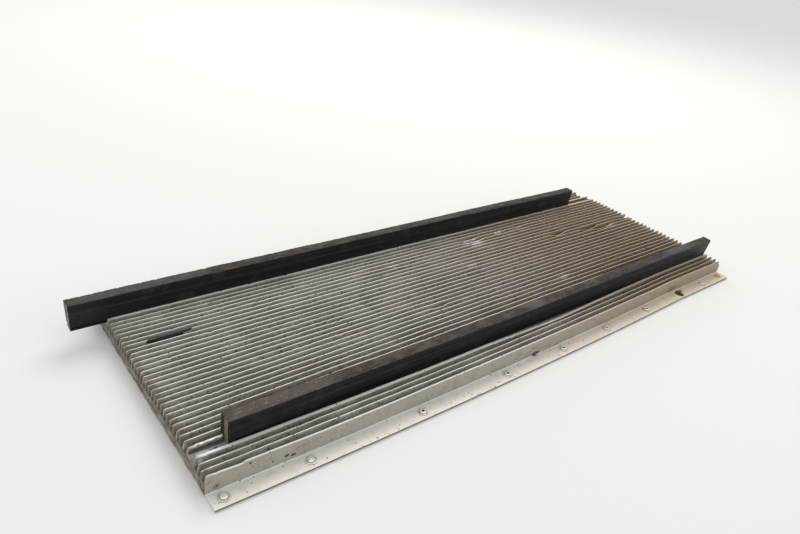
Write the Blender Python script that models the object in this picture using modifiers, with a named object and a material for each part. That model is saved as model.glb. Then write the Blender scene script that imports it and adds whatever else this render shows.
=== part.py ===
"""Finned aluminium panel that holds two slide-in rubber strips.

Two hollow extrusions meet along a tongued seam and carry lengthwise fins on
top.  Each has one slot near its outer side; a rubber strip with a T-shaped
foot slides in it along X.  A flat flange with blind rivets runs along each
long side, and a cap closes the channels at each end.

Frame: origin in the middle of the underside, +X along the fins, +Z up.
"""
import math

import bmesh
import bpy
from mathutils import Euler, Matrix, Vector

MM = 0.001

# Panel
PANEL_LENGTH = 718 * MM
FIT_GAP = 0.3 * MM              # between pieces that touch

# Fins
FIN_PITCH = 6.35 * MM
FINS_PER_SIDE = 13              # each side of the fin on the centre line
FIN_TOP = 19.0 * MM             # height of every top edge above the underside
FIN_VALLEY = 9.5 * MM           # height of the floor between fins
FIN_TIP_WIDTH = 1.1 * MM
FIN_ROOT_WIDTH = 2.0 * MM

# Slot rail: two lips over an undercut slot
RAIL_STEP = 6.45 * MM           # last inner fin to the rail's inner side
INNER_LIP_WIDTH = 2.9 * MM
OUTER_LIP_WIDTH = 2.9 * MM
SLOT_MOUTH = 7.9 * MM
SLOT_UNDERCUT = 1.5 * MM        # each side, below the lips
SLOT_DEPTH = 3.4 * MM
LIP_THICKNESS = 1.15 * MM

# Outer side of each extrusion
OUTER_FINS = 2
OUTER_FIN_PITCH = 6.2 * MM
WALL_STEP = 6.2 * MM            # last outer fin to the middle of the side wall
WALL_THICKNESS = 2.0 * MM
FLANGE_WIDTH = 15.5 * MM
FLANGE_THICKNESS = 1.8 * MM

# Channels inside the extrusions
FLOOR_THICKNESS = 1.8 * MM
CHANNEL_HEIGHT = 5.4 * MM
CHANNELS_PER_SIDE = 4
WEB_THICKNESS = 2.4 * MM
SEAM_EDGE = 7.0 * MM            # solid edge each side of the seam

# Seam between the two extrusions
TONGUE_LENGTH = 3.0 * MM
TONGUE_THICKNESS = 2.4 * MM
TONGUE_HEIGHT = 3.4 * MM        # underside of the tongue

# End caps
CAP_THICKNESS = 2.5 * MM
CAP_HEIGHT = 7.9 * MM
CAP_ROUND = 0.5 * MM

# Rubber strips
STRIP_SHORTFALL = 28 * MM       # how much shorter a strip is than the panel
STRIP_WIDTH = 11.8 * MM
FRONT_STRIP_TOP = 39.4 * MM     # above the panel's underside; this strip is worn lower
REAR_STRIP_TOP = 41.4 * MM
STRIP_ROUND = 0.7 * MM
FOOT_HEIGHT = 1.6 * MM
FRONT_STRIP_SHIFT = 13.1 * MM   # middle of the strip from the panel's middle
REAR_STRIP_SHIFT = -43.7 * MM

# Rivets: an uneven row, as shares of the way from the first to the last
FIRST_RIVET = 10 * MM           # from the panel's left end
LAST_RIVET = 53 * MM            # from its right end
RIVET_SHARES = (0.0, 0.106, 0.274, 0.435, 0.563, 0.678, 0.801, 1.0)
OPEN_HOLE_SHARE = 0.916
RIVET_HOLE = 4.9 * MM
RIVET_HEAD = 9.5 * MM
RIVET_RIM = 0.45 * MM
RIVET_DOME = 5.2 * MM
RIVET_CROWN = 1.7 * MM
RIVET_BORE = 3.0 * MM
BORE_RIM = 0.15 * MM            # flat ring round the bore on the crown
CROWN_STEPS = 4
STEM_BREAK = 0.35 * MM          # how far the broken stem stands below the crown
STEM_TIP_SHARE = 0.7            # radius of the stem's broken tip, of its own radius
OPEN_HOLE_LONG = 12.0 * MM      # across the flange
OPEN_HOLE_SHORT = 10.6 * MM     # along it

TURN_STEPS = 16
SHARP_ANGLE = math.radians(40)  # edges sharper than this are rounded

# Places that follow from the sizes above, as distances from the centre line
SEAM = -FIN_PITCH / 2
LAST_FIN = FINS_PER_SIDE * FIN_PITCH
RAIL_IN = LAST_FIN + RAIL_STEP
MOUTH_IN = RAIL_IN + INNER_LIP_WIDTH
MOUTH_OUT = MOUTH_IN + SLOT_MOUTH
RAIL_OUT = MOUTH_OUT + OUTER_LIP_WIDTH
FIRST_OUTER_FIN = RAIL_OUT + OUTER_FIN_PITCH - FIN_TIP_WIDTH / 2
WALL_MIDDLE = FIRST_OUTER_FIN + (OUTER_FINS - 1) * OUTER_FIN_PITCH + WALL_STEP
WALL_IN = WALL_MIDDLE - WALL_THICKNESS / 2
WALL_OUT = WALL_MIDDLE + WALL_THICKNESS / 2
FLANGE_OUT = WALL_OUT + FLANGE_WIDTH
RIVET_LINE = WALL_OUT + FLANGE_WIDTH / 2
SLOT_FLOOR = FIN_TOP - SLOT_DEPTH
LIP_UNDERSIDE = FIN_TOP - LIP_THICKNESS
CHANNEL_TOP = FLOOR_THICKNESS + CHANNEL_HEIGHT
STRIP_LENGTH = PANEL_LENGTH - STRIP_SHORTFALL
LEFT_END = -PANEL_LENGTH / 2
RIVET_RUN = PANEL_LENGTH - FIRST_RIVET - LAST_RIVET
HOLE_CUT_DEPTH = 4 * FLANGE_THICKNESS


# ---------------------------------------------------------------- helpers

def clear_scene():
    for old in list(bpy.data.objects):
        bpy.data.objects.remove(old, do_unlink=True)


def new_collection(name):
    made = bpy.data.collections.new(name)
    bpy.context.scene.collection.children.link(made)
    return made


def make_material(name, colour, roughness, metallic):
    material = bpy.data.materials.new(name)
    material.use_nodes = True
    shader = material.node_tree.nodes["Principled BSDF"]
    shader.inputs["Base Color"].default_value = (*colour, 1.0)
    shader.inputs["Roughness"].default_value = roughness
    shader.inputs["Metallic"].default_value = metallic
    return material


def add_object(name, mesh, material, collection):
    thing = bpy.data.objects.new(name, mesh)
    if material is not None:
        mesh.materials.clear()
        mesh.materials.append(material)
    collection.objects.link(thing)
    return thing


def extruded(name, outlines, length, middle, material, collection):
    """Carry flat outlines, given as (y, z) points, along X; inner ones are holes."""
    curve = bpy.data.curves.new(name, "CURVE")
    curve.dimensions = "2D"
    curve.fill_mode = "BOTH"
    curve.extrude = length / 2
    for outline in outlines:
        spline = curve.splines.new("POLY")
        spline.points.add(len(outline) - 1)
        for point, (y, z) in zip(spline.points, outline):
            point.co = (y, z, 0.0, 1.0)
        spline.use_cyclic_u = True
    guide = bpy.data.objects.new(name, curve)
    collection.objects.link(guide)
    guide.location = (middle, 0.0, 0.0)
    guide.rotation_euler = Euler((math.pi / 2, 0.0, math.pi / 2))
    bpy.context.view_layer.update()
    seen = guide.evaluated_get(bpy.context.evaluated_depsgraph_get())
    mesh = bpy.data.meshes.new_from_object(seen)
    shape = bmesh.new()
    shape.from_mesh(mesh)
    bmesh.ops.remove_doubles(shape, verts=shape.verts, dist=1e-6)
    shape.to_mesh(mesh)
    shape.free()
    place = guide.matrix_world.copy()
    bpy.data.objects.remove(guide, do_unlink=True)
    solid = add_object(name, mesh, material, collection)
    solid.matrix_world = place
    return solid


def box(name, low, high, material, collection):
    size = Vector(high) - Vector(low)
    shape = bmesh.new()
    bmesh.ops.create_cube(shape, size=1.0, matrix=Matrix.Diagonal((*size, 1.0)))
    mesh = bpy.data.meshes.new(name)
    shape.to_mesh(mesh)
    shape.free()
    solid = add_object(name, mesh, material, collection)
    solid.location = (Vector(high) + Vector(low)) / 2
    return solid


def turned(name, profile, closed, place, material, collection):
    """Turn (radius, height) points about Z; they run down the outer side."""
    mesh = bpy.data.meshes.new(name)
    points = [(radius, 0.0, height) for radius, height in profile]
    edges = [(i, i + 1) for i in range(len(points) - 1)]
    if closed:
        edges.append((len(points) - 1, 0))
    mesh.from_pydata(points, edges, [])
    solid = add_object(name, mesh, material, collection)
    turn = solid.modifiers.new("turn", "SCREW")
    turn.axis = "Z"
    turn.steps = TURN_STEPS
    turn.render_steps = TURN_STEPS
    turn.use_merge_vertices = True
    turn.merge_threshold = 1e-5
    turn.use_smooth_shade = False
    solid.location = place
    return solid


def as_cutter(thing):
    thing.hide_render = True
    thing.display_type = "WIRE"
    return thing


def cut(thing, cutter):
    step = thing.modifiers.new(cutter.name, "BOOLEAN")
    step.operation = "DIFFERENCE"
    step.solver = "EXACT"
    step.object = cutter


def soften(thing, width):
    bevel = thing.modifiers.new("soften", "BEVEL")
    bevel.width = width
    bevel.segments = 1
    bevel.limit_method = "ANGLE"
    bevel.angle_limit = SHARP_ANGLE


# ------------------------------------------------------- finned extrusions

def fin(middle):
    """Corners of one tapered fin, inner side first."""
    return [(middle - FIN_ROOT_WIDTH / 2, FIN_VALLEY), (middle - FIN_TIP_WIDTH / 2, FIN_TOP),
            (middle + FIN_TIP_WIDTH / 2, FIN_TOP), (middle + FIN_ROOT_WIDTH / 2, FIN_VALLEY)]


def rail():
    """The raised rail with its undercut slot, inner side first."""
    undercut_in = MOUTH_IN - SLOT_UNDERCUT
    undercut_out = MOUTH_OUT + SLOT_UNDERCUT
    return [(RAIL_IN, FIN_VALLEY), (RAIL_IN, FIN_TOP),
            (MOUTH_IN, FIN_TOP), (MOUTH_IN, LIP_UNDERSIDE),
            (undercut_in, LIP_UNDERSIDE), (undercut_in, SLOT_FLOOR),
            (undercut_out, SLOT_FLOOR), (undercut_out, LIP_UNDERSIDE),
            (MOUTH_OUT, LIP_UNDERSIDE), (MOUTH_OUT, FIN_TOP),
            (RAIL_OUT, FIN_TOP), (RAIL_OUT, FIN_VALLEY)]


def wall_and_flange():
    return [(WALL_IN, FIN_VALLEY), (WALL_IN, FIN_TOP), (WALL_OUT, FIN_TOP),
            (WALL_OUT, FLANGE_THICKNESS), (FLANGE_OUT, FLANGE_THICKNESS), (FLANGE_OUT, 0.0)]


def channels(inner_edge):
    """Rectangular channels, evenly shared between the seam and the side wall."""
    start = inner_edge + SEAM_EDGE
    stop = WALL_IN
    pitch = (stop - start + WEB_THICKNESS) / CHANNELS_PER_SIDE
    holes = []
    for number in range(CHANNELS_PER_SIDE):
        near = start + number * pitch
        far = near + pitch - WEB_THICKNESS
        holes.append([(near, FLOOR_THICKNESS), (far, FLOOR_THICKNESS),
                      (far, CHANNEL_TOP), (near, CHANNEL_TOP)])
    return holes


def extrusion(name, side, seam_edge, first_fin, more_holes, material, parts, tools):
    """One extrusion; side is -1 for the front one and +1 for the rear one."""
    outline = list(seam_edge)
    for number in range(first_fin, FINS_PER_SIDE + 1):
        outline += fin(number * FIN_PITCH)
    outline += rail()
    for number in range(OUTER_FINS):
        outline += fin(FIRST_OUTER_FIN + number * OUTER_FIN_PITCH)
    outline += wall_and_flange()
    inner_edge = max(distance for distance, _ in seam_edge)
    shapes = [outline] + channels(inner_edge)
    shapes = [[(side * distance, z) for distance, z in shape] for shape in shapes]
    solid = extruded(name, shapes, PANEL_LENGTH, 0.0, material, parts)

    for end in (-1, 1):
        inner_x = end * (PANEL_LENGTH / 2 - CAP_THICKNESS - FIT_GAP)
        outer_x = end * (PANEL_LENGTH / 2 + CAP_THICKNESS)
        low = (min(inner_x, outer_x), -WALL_IN, -CAP_HEIGHT)
        high = (max(inner_x, outer_x), WALL_IN, CAP_HEIGHT + FIT_GAP)
        cut(solid, as_cutter(box(f"{name}_cap_seat_{end + 2}", low, high, None, tools)))
    holes = [(share, RIVET_HOLE, RIVET_HOLE) for share in RIVET_SHARES]
    cut(solid, hole_row(f"{name}_holes", holes + more_holes, side, tools))
    return solid


def rivet_place(share, side, height):
    """Where a rivet stands, by its share of the row's length."""
    return (LEFT_END + FIRST_RIVET + share * RIVET_RUN, side * RIVET_LINE, height)


def hole_row(name, holes, side, tools):
    """Round or oval cutters through the flange, given as (share, along, across)."""
    shape = bmesh.new()
    for share, along, across in holes:
        middle = Matrix.Translation(rivet_place(share, side, FLANGE_THICKNESS / 2))
        size = Matrix.Diagonal((along, across, HOLE_CUT_DEPTH, 1.0))
        bmesh.ops.create_cone(shape, cap_ends=True, segments=TURN_STEPS, radius1=0.5, radius2=0.5,
                              depth=1.0, matrix=middle @ size)
    mesh = bpy.data.meshes.new(name)
    shape.to_mesh(mesh)
    shape.free()
    return as_cutter(add_object(name, mesh, None, tools))


def seam_with_tongue():
    """Seam side of the front extrusion, running upwards round the tongue."""
    edge = SEAM + FIT_GAP / 2
    tip = edge - TONGUE_LENGTH
    top = TONGUE_HEIGHT + TONGUE_THICKNESS
    return [(edge, 0.0), (edge, TONGUE_HEIGHT), (tip, TONGUE_HEIGHT), (tip, top),
            (edge, top), (edge, FIN_VALLEY)]


def seam_with_groove():
    """Seam side of the rear extrusion, running upwards round the groove."""
    edge = -SEAM + FIT_GAP / 2
    bottom = edge + TONGUE_LENGTH
    low = TONGUE_HEIGHT - FIT_GAP
    top = TONGUE_HEIGHT + TONGUE_THICKNESS + FIT_GAP
    return [(edge, 0.0), (edge, low), (bottom, low), (bottom, top), (edge, top), (edge, FIN_VALLEY)]


# ------------------------------------------------------------- other parts

def end_cap(name, end, material, parts):
    inner_x = end * (PANEL_LENGTH / 2 - CAP_THICKNESS)
    outer_x = end * PANEL_LENGTH / 2
    reach = WALL_IN - FIT_GAP
    low = (min(inner_x, outer_x), -reach, 0.0)
    high = (max(inner_x, outer_x), reach, CAP_HEIGHT)
    cap = box(name, low, high, material, parts)
    soften(cap, CAP_ROUND)
    return cap


def strip(name, side, top, shift, material, parts):
    """Rubber strip: body above the lips, neck between them, foot under them."""
    front_mouth = MOUTH_OUT if side < 0 else MOUTH_IN
    back_mouth = MOUTH_IN if side < 0 else MOUTH_OUT
    neck_front = side * front_mouth + FIT_GAP
    neck_back = side * back_mouth - FIT_GAP
    foot_front = neck_front - SLOT_UNDERCUT
    foot_back = neck_back + SLOT_UNDERCUT
    body_back = neck_front + STRIP_WIDTH
    foot_low = SLOT_FLOOR + FIT_GAP
    foot_top = foot_low + FOOT_HEIGHT
    body_low = FIN_TOP + FIT_GAP
    corner = STRIP_ROUND
    outline = [(foot_front, foot_low), (foot_back, foot_low), (foot_back, foot_top),
               (neck_back, foot_top), (neck_back, body_low), (body_back, body_low),
               (body_back, top - corner), (body_back - corner, top),
               (neck_front + corner, top), (neck_front, top - corner),
               (neck_front, foot_top), (foot_front, foot_top)]
    return extruded(name, [outline], STRIP_LENGTH, shift, material, parts)


def rivet(name, side, share, material, parts):
    """Blind rivet body: wide flat rim, raised crown, bored shank clipped below."""
    seat = FLANGE_THICKNESS + FIT_GAP
    shank = RIVET_HOLE / 2 - FIT_GAP
    bore = RIVET_BORE / 2
    tail = FIT_GAP - seat
    rim = RIVET_HEAD / 2
    profile = [(bore, RIVET_CROWN - STEM_BREAK)]
    for step in range(CROWN_STEPS + 1):
        angle = math.pi / 2 * step / CROWN_STEPS
        radius = bore + BORE_RIM + (RIVET_DOME / 2 - bore) * math.sin(angle)
        height = RIVET_RIM + (RIVET_CROWN - RIVET_RIM) * math.cos(angle)
        profile.append((radius, height))
    profile += [(rim, RIVET_RIM), (rim, 0.0), (shank, 0.0), (shank, tail), (bore, tail)]
    return turned(name, profile, True, rivet_place(share, side, seat), material, parts)


def rivet_stem(name, side, share, material, parts):
    """Broken-off end of the rivet's pulling stem, held in the bore."""
    seat = FLANGE_THICKNESS + FIT_GAP
    radius = RIVET_BORE / 2 - FIT_GAP
    top = RIVET_CROWN - STEM_BREAK
    tail = FIT_GAP - seat
    tip = STEM_TIP_SHARE * radius
    profile = [(0.0, top), (tip, top), (radius, top - STEM_BREAK), (radius, tail), (0.0, tail)]
    return turned(name, profile, False, rivet_place(share, side, seat), material, parts)


# ------------------------------------------------------------------ build

def build():
    clear_scene()
    parts = new_collection("finned_panel")
    tools = new_collection("cutters")
    metal = make_material("extruded_aluminium", (0.46, 0.44, 0.40), 0.45, 0.9)
    cap_metal = make_material("cap_aluminium", (0.33, 0.29, 0.25), 0.6, 0.8)
    rubber = make_material("black_rubber", (0.025, 0.023, 0.023), 0.6, 0.0)
    rivet_metal = make_material("rivet_aluminium", (0.62, 0.60, 0.57), 0.3, 1.0)
    steel = make_material("stem_steel", (0.24, 0.22, 0.21), 0.5, 1.0)

    open_hole = [(OPEN_HOLE_SHARE, OPEN_HOLE_SHORT, OPEN_HOLE_LONG)]
    extrusion("front_extrusion", -1, seam_with_tongue(), 0, open_hole, metal, parts, tools)
    extrusion("rear_extrusion", 1, seam_with_groove(), 1, [], metal, parts, tools)
    end_cap("left_end_cap", -1, cap_metal, parts)
    end_cap("right_end_cap", 1, cap_metal, parts)
    strip("front_strip", -1, FRONT_STRIP_TOP, FRONT_STRIP_SHIFT, rubber, parts)
    strip("rear_strip", 1, REAR_STRIP_TOP, REAR_STRIP_SHIFT, rubber, parts)
    for label, side in (("front", -1), ("rear", 1)):
        for number, share in enumerate(RIVET_SHARES, 1):
            rivet(f"{label}_rivet_{number}", side, share, rivet_metal, parts)
            rivet_stem(f"{label}_rivet_stem_{number}", side, share, steel, parts)


build()
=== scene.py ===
"""Looks of a finned aluminium panel with two slide-in rubber strips.

Each section makes one piece, or one group of like pieces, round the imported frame.
Sizes are in metres; X runs along the fins, Y towards the rear side, Z up.
"""
import math

import bpy
import numpy as np
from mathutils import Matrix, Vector
from mathutils.geometry import tessellate_polygon


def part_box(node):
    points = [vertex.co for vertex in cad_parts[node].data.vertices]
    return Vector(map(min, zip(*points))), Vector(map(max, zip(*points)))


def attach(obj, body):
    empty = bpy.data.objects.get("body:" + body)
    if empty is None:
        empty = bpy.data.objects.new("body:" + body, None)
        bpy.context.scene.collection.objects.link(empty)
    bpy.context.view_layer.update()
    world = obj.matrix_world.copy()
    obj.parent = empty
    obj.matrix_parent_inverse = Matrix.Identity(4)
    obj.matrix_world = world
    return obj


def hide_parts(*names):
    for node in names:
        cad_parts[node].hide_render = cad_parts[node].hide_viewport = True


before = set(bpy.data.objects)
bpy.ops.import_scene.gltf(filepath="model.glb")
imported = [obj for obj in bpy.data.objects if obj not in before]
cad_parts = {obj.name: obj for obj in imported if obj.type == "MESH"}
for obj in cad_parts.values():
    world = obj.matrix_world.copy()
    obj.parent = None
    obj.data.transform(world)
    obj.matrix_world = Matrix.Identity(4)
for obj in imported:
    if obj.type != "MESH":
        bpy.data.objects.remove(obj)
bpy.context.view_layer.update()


# ------------------------------------------------------------------ the two finned halves
# The panel is two hollow aluminium extrusions that meet along a tongued seam. Each is one
# drawn profile with upright fins, a slotted rail, two outer fins, a side wall and a flange.
# The mill finish is dull with oxide and road dirt, and the fin edges are nicked and bent.

MM = 0.001
panel_low, panel_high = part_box("front_extrusion")
LEFT = panel_low.x
RIGHT = panel_high.x
TOP = panel_high.z
FLANGE_OUT = -panel_low.y
PITCH = 6.35 * MM
INNER_FINS = 13                 # each side of the one on the centre line
VALLEY = 9.5 * MM
TIP_HALF = 0.55 * MM
ROOT_HALF = 1.0 * MM
RAIL_IN = INNER_FINS * PITCH + 6.45 * MM
MOUTH_IN = RAIL_IN + 2.9 * MM
MOUTH_OUT = MOUTH_IN + 7.9 * MM
RAIL_OUT = MOUTH_OUT + 2.9 * MM
UNDERCUT = 1.5 * MM
SLOT_FLOOR = TOP - 3.4 * MM
LIP_UNDER = TOP - 1.15 * MM
OUTER_FINS = (RAIL_OUT + 5.65 * MM, RAIL_OUT + 11.85 * MM)
WALL_IN = RAIL_OUT + 17.05 * MM
WALL_OUT = WALL_IN + 2.0 * MM
FLANGE_TOP = 1.8 * MM
SEAM = PITCH / 2
GAP = 0.15 * MM                 # half of the seam's gap
CHANNEL_LOW = 1.8 * MM
CHANNEL_HIGH = 7.2 * MM
CHANNEL_WEB = 2.4 * MM
CHANNELS = 4
STATIONS = 261
CREASE = 22                     # degrees between two flats that read as a crisp edge
BOW = 4.3 * MM                  # the front edge is bent out this far, most at BOW_MIDDLE
BOW_MIDDLE = -60 * MM
BOW_REACH = 300 * MM
PRISED_OUT = 2.8 * MM           # the front slot's outer lip is prised open at PRISED_AT
PRISED_AT = 35 * MM
PRISED_REACH = 64 * MM
TORN_LENGTH = 34 * MM           # the front slot's inner lip is torn this far from its left end
TORN_FADE = 10 * MM
NICKS = 420                     # in the fin edges of one half
MOST_SHORT = 2.2 * MM           # how much a fin's end may fall short of the panel's

# Who a point of the outline belongs to: fins count from the centre line outwards, 0 to 13
INNER_LIP, OUTER_LIP, FIN_A, FIN_B, WALL, BASE = range(14, 20)
OWNERS = 20


def fin_line(middle, owner):
    """Outline of one fin from its inner to its outer root: the half width falls from root
    to tip, flares into a fillet at the root and rounds over at the edge."""
    share = np.array([0.0, 0.04, 0.35, 0.75, 0.93, 0.985, 1.0])
    extra = np.array([0.55, 0.15, 0.0, 0.0, 0.0, -0.12, -0.34]) * MM
    half = ROOT_HALF + (TIP_HALF - ROOT_HALF) * share + extra
    across = np.concatenate([middle - half, (middle + half)[::-1]])
    share = np.concatenate([share, share[::-1]])
    return np.column_stack([across, VALLEY + share * (TOP - VALLEY), np.full(across.size, owner)])


def owned(owner, *corners):
    """Corners (distance, height) in millimetres as outline rows of one owner."""
    rows = np.array(corners, float) * MM
    return np.column_stack([rows, np.full(len(rows), owner)])


def rail_line():
    """The slotted rail: two lips with rounded edges over an undercut slot."""
    rin, mi, mo = (v / MM for v in (RAIL_IN, MOUTH_IN, MOUTH_OUT))
    low, top, floor, under, cut = (v / MM for v in (VALLEY, TOP, SLOT_FLOOR, LIP_UNDER, UNDERCUT))
    inner = owned(INNER_LIP, (rin - 0.5, low), (rin, low + 0.4), (rin, low + 5), (rin, top - 0.7),
                  (rin + 0.25, top - 0.15), (rin + 0.7, top), (rin + 1.6, top), (mi - 0.6, top),
                  (mi - 0.15, top - 0.1), (mi, top - 0.4), (mi, under), (mi - cut, under),
                  (mi - cut, floor))
    bed = owned(BASE, (mi + 1.5, floor), ((mi + mo) / 2, floor), (mo - 1.5, floor))
    outer = inner[::-1].copy()
    outer[:, 0] = (MOUTH_IN + MOUTH_OUT) - outer[:, 0]
    outer[:, 2] = OUTER_LIP
    return np.concatenate([inner, bed, outer])


def wall_line():
    """Side wall, then the flange, then the underside back to the seam."""
    wi, wo, out = (v / MM for v in (WALL_IN, WALL_OUT, FLANGE_OUT))
    low, top, flange = (v / MM for v in (VALLEY, TOP, FLANGE_TOP))
    wall = owned(WALL, (wi - 0.5, low), (wi, low + 0.4), (wi, low + 4), (wi, top - 0.6),
                 (wi + 0.3, top - 0.1), (wi + 1, top), (wo - 0.3, top - 0.1), (wo, top - 0.6),
                 (wo, low + 4), (wo, low))
    foot = owned(BASE, (wo, flange + 3.5), (wo, flange + 0.45), (wo + 0.45, flange),
                 (wo + 3.5, flange), (wo + 7.5, flange), (out - 3.5, flange),
                 (out - 0.35, flange), (out, flange - 0.3), (out, 0.3), (out - 0.3, 0.0))
    under = owned(BASE, *[(d, 0.0) for d in (120, 90, 60, 30, 12)])
    return np.concatenate([wall, foot, under])


def outline_of(side):
    """Whole outline of one half as rows of (distance, height, owner), and its channels."""
    if side < 0:
        edge = -SEAM + GAP
        seam = owned(BASE, (edge / MM, 0), (edge / MM, 3.4), (edge / MM - 3, 3.4),
                     (edge / MM - 3, 5.8), (edge / MM, 5.8), (edge / MM, 9.5))
        first, inner_edge = 0, edge
    else:
        edge = SEAM + GAP
        seam = owned(BASE, (edge / MM, 0), (edge / MM, 3.1), (edge / MM + 3, 3.1),
                     (edge / MM + 3, 6.1), (edge / MM, 6.1), (edge / MM, 9.5))
        first, inner_edge = 1, edge + 3 * MM
    fins = [fin_line(n * PITCH, n) for n in range(first, INNER_FINS + 1)]
    outer = [fin_line(d, owner) for d, owner in zip(OUTER_FINS, (FIN_A, FIN_B))]
    outline = np.concatenate([seam, *fins, rail_line(), *outer, wall_line()])
    start = inner_edge + 7 * MM
    step = (WALL_IN - start + CHANNEL_WEB) / CHANNELS
    near = start + step * np.arange(CHANNELS)
    far = near + step - CHANNEL_WEB
    holes = [np.array([(a, CHANNEL_LOW), (b, CHANNEL_LOW), (b, CHANNEL_HIGH), (a, CHANNEL_HIGH)])
             for a, b in zip(near, far)]
    return outline, holes


# Dents and bends, in millimetres: x, y, reach along, reach across, push in Y, drop
DENTS = np.array([
    (-321, 44.4, 17, 2.0, 1.3, 1.4),
    (73, 66.0, 15, 5.0, -1.6, 1.6),
    (76, 57.1, 10, 3.0, 1.3, 0.8),
    (125, 69.8, 7, 3.0, 1.2, 0.9),
    (165, 66.0, 8, 3.0, -1.1, 0.8),
    (201, 31.7, 9, 3.0, -1.8, 0.7),
    (262, 25.4, 17, 2.5, -2.6, 1.5),
    (284, 19.0, 18, 3.0, -2.2, 1.1),
    (204, 34.0, 14, 4.0, -1.6, 1.0),
    (352, 25.4, 18, 2.5, -2.4, 0.6),
    (354, 57.1, 9, 2.5, 1.2, 0.4),
    (119, -50.8, 8, 2.5, 1.7, 0.5),
    (-214, 12.7, 8, 2.5, 0.9, 0.5),
    (-66, -31.7, 10, 2.5, -0.9, 0.5),
    (-130, 76.2, 9, 2.5, 0.8, 0.4),
])
# Scraped bright places and sooty ones, in millimetres: x, y, reach along, reach across
SCRAPED = np.array([(73, 62, 16, 9), (125, 69, 7, 4), (165, 66, 8, 4), (117, -48, 9, 3),
                    (303, 17, 10, 4), (-60, 58, 8, 4), (30, 20, 7, 4)])
SOOTY = np.array([(-334, 43.2, 7, 2.6), (-322, 43.9, 14, 2.9), (-308, 44.9, 10, 2.4)])
# Fins folded over so far that their brown undersides show: x, y, reach along, reach across
FOLDED = np.array([(262, 24, 19, 4.5), (286, 19, 18, 4), (204, 34, 15, 4.5)])


def spots(places, x, y):
    """Largest of several soft oval spots: one inside, falling to nought past the reach."""
    places = places * MM
    far = ((x[..., None] - places[:, 0]) / places[:, 2]) ** 2
    far = far + ((y[..., None] - places[:, 1]) / places[:, 3]) ** 2
    return np.exp(-far ** 2).max(-1)


def arch(x):
    """Share of the panel's bend at x: a parabola, one at its middle, nought past its reach."""
    return np.clip(1 - ((x - BOW_MIDDLE) / BOW_REACH) ** 2, 0, 1)


def bow(side, x):
    """How far out the front rail, wall and flange are bent: BOW times the arch."""
    return BOW * arch(x) * (side < 0)


def worn(side, x, across, height, owner, rng):
    """Places of every outline point at every station. Fins sway by a sum of sines with
    random phases, times the square of the height up the fin; nicks lower single stations of
    a fin's edge; dents push and lower it by a soft oval; the whole top crowns by a low
    parabola. The front rail, wall and flange move out by the bow, its outer lip by a bell
    curve more, and its inner lip is torn back and down by random depths at the left end."""
    x = x[:, None]
    rise = np.clip((height - VALLEY) / (TOP - VALLEY), 0, 1)
    rise = np.where(owner == BASE, 0.0, rise)
    far_off = 1.0               # metres: no dent reaches the base
    middles = side * np.array([*np.arange(INNER_FINS + 1) * PITCH, RAIL_IN, RAIL_OUT,
                               *OUTER_FINS, WALL_OUT, far_off])
    loose = np.ones(OWNERS)
    loose[[INNER_LIP, OUTER_LIP, WALL]] = 0.35
    sway = np.zeros((x.size, OWNERS))
    for length, amount in ((0.31, 0.20), (0.128, 0.14), (0.047, 0.07)):
        phase = rng.uniform(0, math.tau, OWNERS)
        sway += amount * MM * np.sin(math.tau * x / length + phase) * loose
    drop = 0.08 * MM * np.sin(math.tau * x / 0.09 + rng.uniform(0, math.tau, OWNERS))
    drop = drop * loose + 0.08 * MM
    nick_x = rng.integers(1, x.size - 1, NICKS)
    nick_owner = rng.integers(0, OWNERS - 1, NICKS)
    np.add.at(drop, (nick_x, nick_owner), rng.uniform(0.1, 0.75, NICKS) ** 2 * 1.3 * MM)
    drop[0] += rng.uniform(0, 0.9, OWNERS) * MM
    drop[-1] += rng.uniform(0, 1.3, OWNERS) * MM
    for x0, y0, along, wide, push, down in DENTS * MM:
        reach = np.exp(-((x - x0) / along) ** 4 - ((middles - y0) / wide) ** 2)
        sway += side * push * reach
        drop += down * reach
    # The wall is cut down at its right end. So are the rear half's outer fins; the front
    # half has a prised outer lip, and a step and a long low dip in its wall at the left
    drop[:, WALL] += np.clip((x[:, 0] - (RIGHT - 5 * MM)) / (3 * MM), 0, 1) * 7 * MM
    if side > 0:
        corner = np.clip((x - (RIGHT - 15 * MM)) / (5 * MM), 0, 1)
        drop[:, [FIN_A, FIN_B]] += 5 * MM * corner
    else:
        sway[:, OUTER_LIP] += PRISED_OUT * np.exp(-((x[:, 0] - PRISED_AT) / PRISED_REACH) ** 2)
        along = x[:, 0] - LEFT
        drop[:, WALL] += 1.6 * MM * np.clip(along / (28 * MM) - 0.15, 0, 1) * (along < 29 * MM)
        drop[:, WALL] += 0.9 * MM * np.exp(-((along - 125 * MM) / (72 * MM)) ** 4)
    who = owner.astype(int)
    crest = 47 * MM             # the crown is highest here, and gone at twice as far
    crown = (0.8 if side > 0 else 0.4) * MM
    crown = crown * np.clip(1 - ((across - crest) / crest) ** 2, 0, 1) * (height > VALLEY - MM)
    carried = np.clip((across - MOUTH_IN) / (MOUTH_OUT - MOUTH_IN), 0, 1)
    bent = bow(side, x) * carried
    y = side * (across + bent + sway[:, who] * rise ** 2)
    z = height + crown - drop[:, who] * rise ** 3
    if side < 0:
        torn = np.clip((LEFT + TORN_LENGTH - x) / TORN_FADE, 0, 1) * (owner == INNER_LIP)
        torn = torn * (height > LIP_UNDER - 0.1 * MM) * (across > RAIL_IN + 0.5 * MM)
        jag, tear = rng.uniform(0, 1, (2, x.size, 1))
        upper = height > LIP_UNDER + 0.1 * MM
        y = y - side * torn * (across - RAIL_IN) / (MOUTH_IN - RAIL_IN) * 2.2 * MM * tear
        z = z + torn * np.where(upper, 0.2 - 1.1 * jag, 0) * MM
    return y, z, rise, bent


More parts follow.
